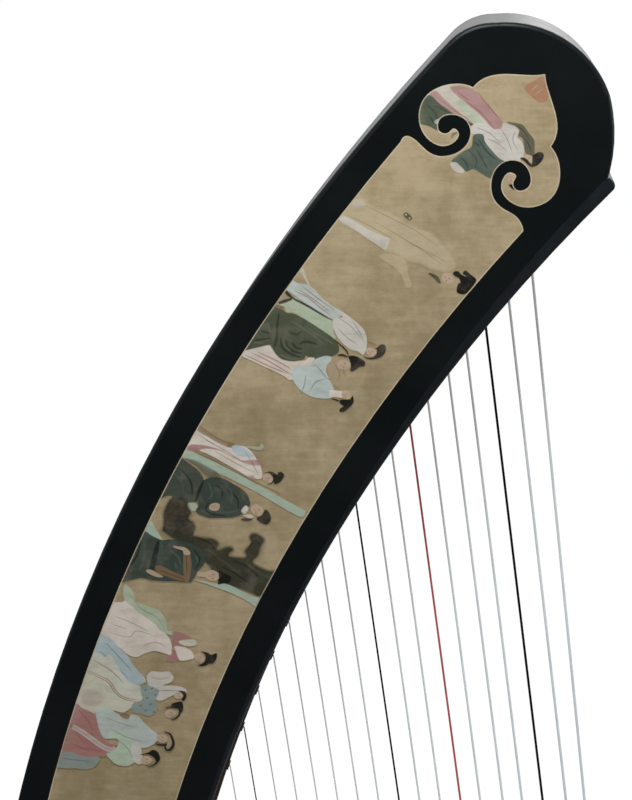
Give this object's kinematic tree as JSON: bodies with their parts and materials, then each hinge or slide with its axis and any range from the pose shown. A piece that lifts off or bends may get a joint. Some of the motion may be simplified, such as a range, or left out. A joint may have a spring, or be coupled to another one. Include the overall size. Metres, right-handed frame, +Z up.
{
  "type": "small konghou",
  "caption": "Small standing konghou harp: a crescent soundbox with painted sides, open strings and a beam of tuning pins on a base board.",
  "frame": {"origin": "centre of the bounding box in plan, on the floor", "axes": "+X from the belly of the soundbox to the free end of the pin arm, +Z up, -Y is the near side with the string coils, strings in the plane Y = 0"},
  "size_m": [0.48, 0.23, 1.0256],
  "materials": {
    "lacquer": "satin black lacquer",
    "painted_silk": "painting on aged tan silk under a thin varnish",
    "spruce": "oiled, straight grain",
    "maple": "bare, planed",
    "rosewood": "oiled",
    "boxwood": "polished inlay",
    "brass": "polished",
    "pin_steel": "nickel plated",
    "bolt_steel": "turned",
    "string_grey": "translucent grey nylon",
    "string_red": "dyed nylon",
    "string_black": "dyed nylon",
    "rubber": "matt"
  },
  "bodies": {
    "harp": {"side_panel_near": "lacquer", "side_panel_far": "lacquer", "painted_panel_near": "painted_silk", "painted_panel_far": "painted_silk", "back_panel": "lacquer", "sound_hole_rings": "boxwood", "soundboard": "spruce", "soundboard_bindings": "lacquer", "head_block": "lacquer", "tail_block": "lacquer", "side_liners": "maple", "cross_braces": "maple", "string_rib": "rosewood", "inner_string_rib": "maple", "string_eyelets": "brass", "strings_plain": "string_grey", "strings_red": "string_red", "strings_black": "string_black", "pin_arm": "lacquer", "arm_finial": "lacquer", "tenon_dowels": "maple", "bridge_pins": "brass", "base_board": "lacquer", "saddle_block": "lacquer", "base_bolts": "bolt_steel", "bolt_washers": "bolt_steel", "base_feet": "rubber", "foot_screws": "bolt_steel"},
    "tuning_pin_01": {"tuning_pin_01": "pin_steel"},
    "tuning_pin_02": {"tuning_pin_02": "pin_steel"},
    "tuning_pin_03": {"tuning_pin_03": "pin_steel"},
    "tuning_pin_04": {"tuning_pin_04": "pin_steel"},
    "tuning_pin_05": {"tuning_pin_05": "pin_steel"},
    "tuning_pin_06": {"tuning_pin_06": "pin_steel"},
    "tuning_pin_07": {"tuning_pin_07": "pin_steel"},
    "tuning_pin_08": {"tuning_pin_08": "pin_steel"},
    "tuning_pin_09": {"tuning_pin_09": "pin_steel"},
    "tuning_pin_10": {"tuning_pin_10": "pin_steel"},
    "tuning_pin_11": {"tuning_pin_11": "pin_steel"},
    "tuning_pin_12": {"tuning_pin_12": "pin_steel"},
    "tuning_pin_13": {"tuning_pin_13": "pin_steel"},
    "tuning_pin_14": {"tuning_pin_14": "pin_steel"},
    "tuning_pin_15": {"tuning_pin_15": "pin_steel"},
    "tuning_pin_16": {"tuning_pin_16": "pin_steel"},
    "tuning_pin_17": {"tuning_pin_17": "pin_steel"},
    "tuning_pin_18": {"tuning_pin_18": "pin_steel"},
    "tuning_pin_19": {"tuning_pin_19": "pin_steel"},
    "tuning_pin_20": {"tuning_pin_20": "pin_steel"},
    "tuning_pin_21": {"tuning_pin_21": "pin_steel"}
  },
  "joints": [
    {"name": "pin_01_turn", "type": "hinge", "parent": "harp", "child": "tuning_pin_01", "pos_m": [0.19575, 0, 0.16641], "axis": [0, 1, 0], "continuous": true},
    {"name": "pin_02_turn", "type": "hinge", "parent": "harp", "child": "tuning_pin_02", "pos_m": [0.18427, 0, 0.16318], "axis": [0, 1, 0], "continuous": true},
    {"name": "pin_03_turn", "type": "hinge", "parent": "harp", "child": "tuning_pin_03", "pos_m": [0.17226, 0, 0.16181], "axis": [0, 1, 0], "continuous": true},
    {"name": "pin_04_turn", "type": "hinge", "parent": "harp", "child": "tuning_pin_04", "pos_m": [0.16022, 0, 0.16014], "axis": [0, 1, 0], "continuous": true},
    {"name": "pin_05_turn", "type": "hinge", "parent": "harp", "child": "tuning_pin_05", "pos_m": [0.14821, 0, 0.15824], "axis": [0, 1, 0], "continuous": true},
    {"name": "pin_06_turn", "type": "hinge", "parent": "harp", "child": "tuning_pin_06", "pos_m": [0.13613, 0, 0.15692], "axis": [0, 1, 0], "continuous": true},
    {"name": "pin_07_turn", "type": "hinge", "parent": "harp", "child": "tuning_pin_07", "pos_m": [0.12414, 0, 0.1551], "axis": [0, 1, 0], "continuous": true},
    {"name": "pin_08_turn", "type": "hinge", "parent": "harp", "child": "tuning_pin_08", "pos_m": [0.11213, 0, 0.15343], "axis": [0, 1, 0], "continuous": true},
    {"name": "pin_09_turn", "type": "hinge", "parent": "harp", "child": "tuning_pin_09", "pos_m": [0.10012, 0, 0.15176], "axis": [0, 1, 0], "continuous": true},
    {"name": "pin_10_turn", "type": "hinge", "parent": "harp", "child": "tuning_pin_10", "pos_m": [0.08813, 0, 0.15008], "axis": [0, 1, 0], "continuous": true},
    {"name": "pin_11_turn", "type": "hinge", "parent": "harp", "child": "tuning_pin_11", "pos_m": [0.07614, 0, 0.14841], "axis": [0, 1, 0], "continuous": true},
    {"name": "pin_12_turn", "type": "hinge", "parent": "harp", "child": "tuning_pin_12", "pos_m": [0.06416, 0, 0.14674], "axis": [0, 1, 0], "continuous": true},
    {"name": "pin_13_turn", "type": "hinge", "parent": "harp", "child": "tuning_pin_13", "pos_m": [0.05218, 0, 0.14507], "axis": [0, 1, 0], "continuous": true},
    {"name": "pin_14_turn", "type": "hinge", "parent": "harp", "child": "tuning_pin_14", "pos_m": [0.04022, 0, 0.1434], "axis": [0, 1, 0], "continuous": true},
    {"name": "pin_15_turn", "type": "hinge", "parent": "harp", "child": "tuning_pin_15", "pos_m": [0.02826, 0, 0.14173], "axis": [0, 1, 0], "continuous": true},
    {"name": "pin_16_turn", "type": "hinge", "parent": "harp", "child": "tuning_pin_16", "pos_m": [0.01631, 0, 0.14007], "axis": [0, 1, 0], "continuous": true},
    {"name": "pin_17_turn", "type": "hinge", "parent": "harp", "child": "tuning_pin_17", "pos_m": [0.00437, 0, 0.1384], "axis": [0, 1, 0], "continuous": true},
    {"name": "pin_18_turn", "type": "hinge", "parent": "harp", "child": "tuning_pin_18", "pos_m": [-0.00757, 0, 0.13674], "axis": [0, 1, 0], "continuous": true},
    {"name": "pin_19_turn", "type": "hinge", "parent": "harp", "child": "tuning_pin_19", "pos_m": [-0.0195, 0, 0.13508], "axis": [0, 1, 0], "continuous": true},
    {"name": "pin_20_turn", "type": "hinge", "parent": "harp", "child": "tuning_pin_20", "pos_m": [-0.03142, 0, 0.13341], "axis": [0, 1, 0], "continuous": true},
    {"name": "pin_21_turn", "type": "hinge", "parent": "harp", "child": "tuning_pin_21", "pos_m": [-0.04333, 0, 0.13175], "axis": [0, 1, 0], "continuous": true}
  ]
}
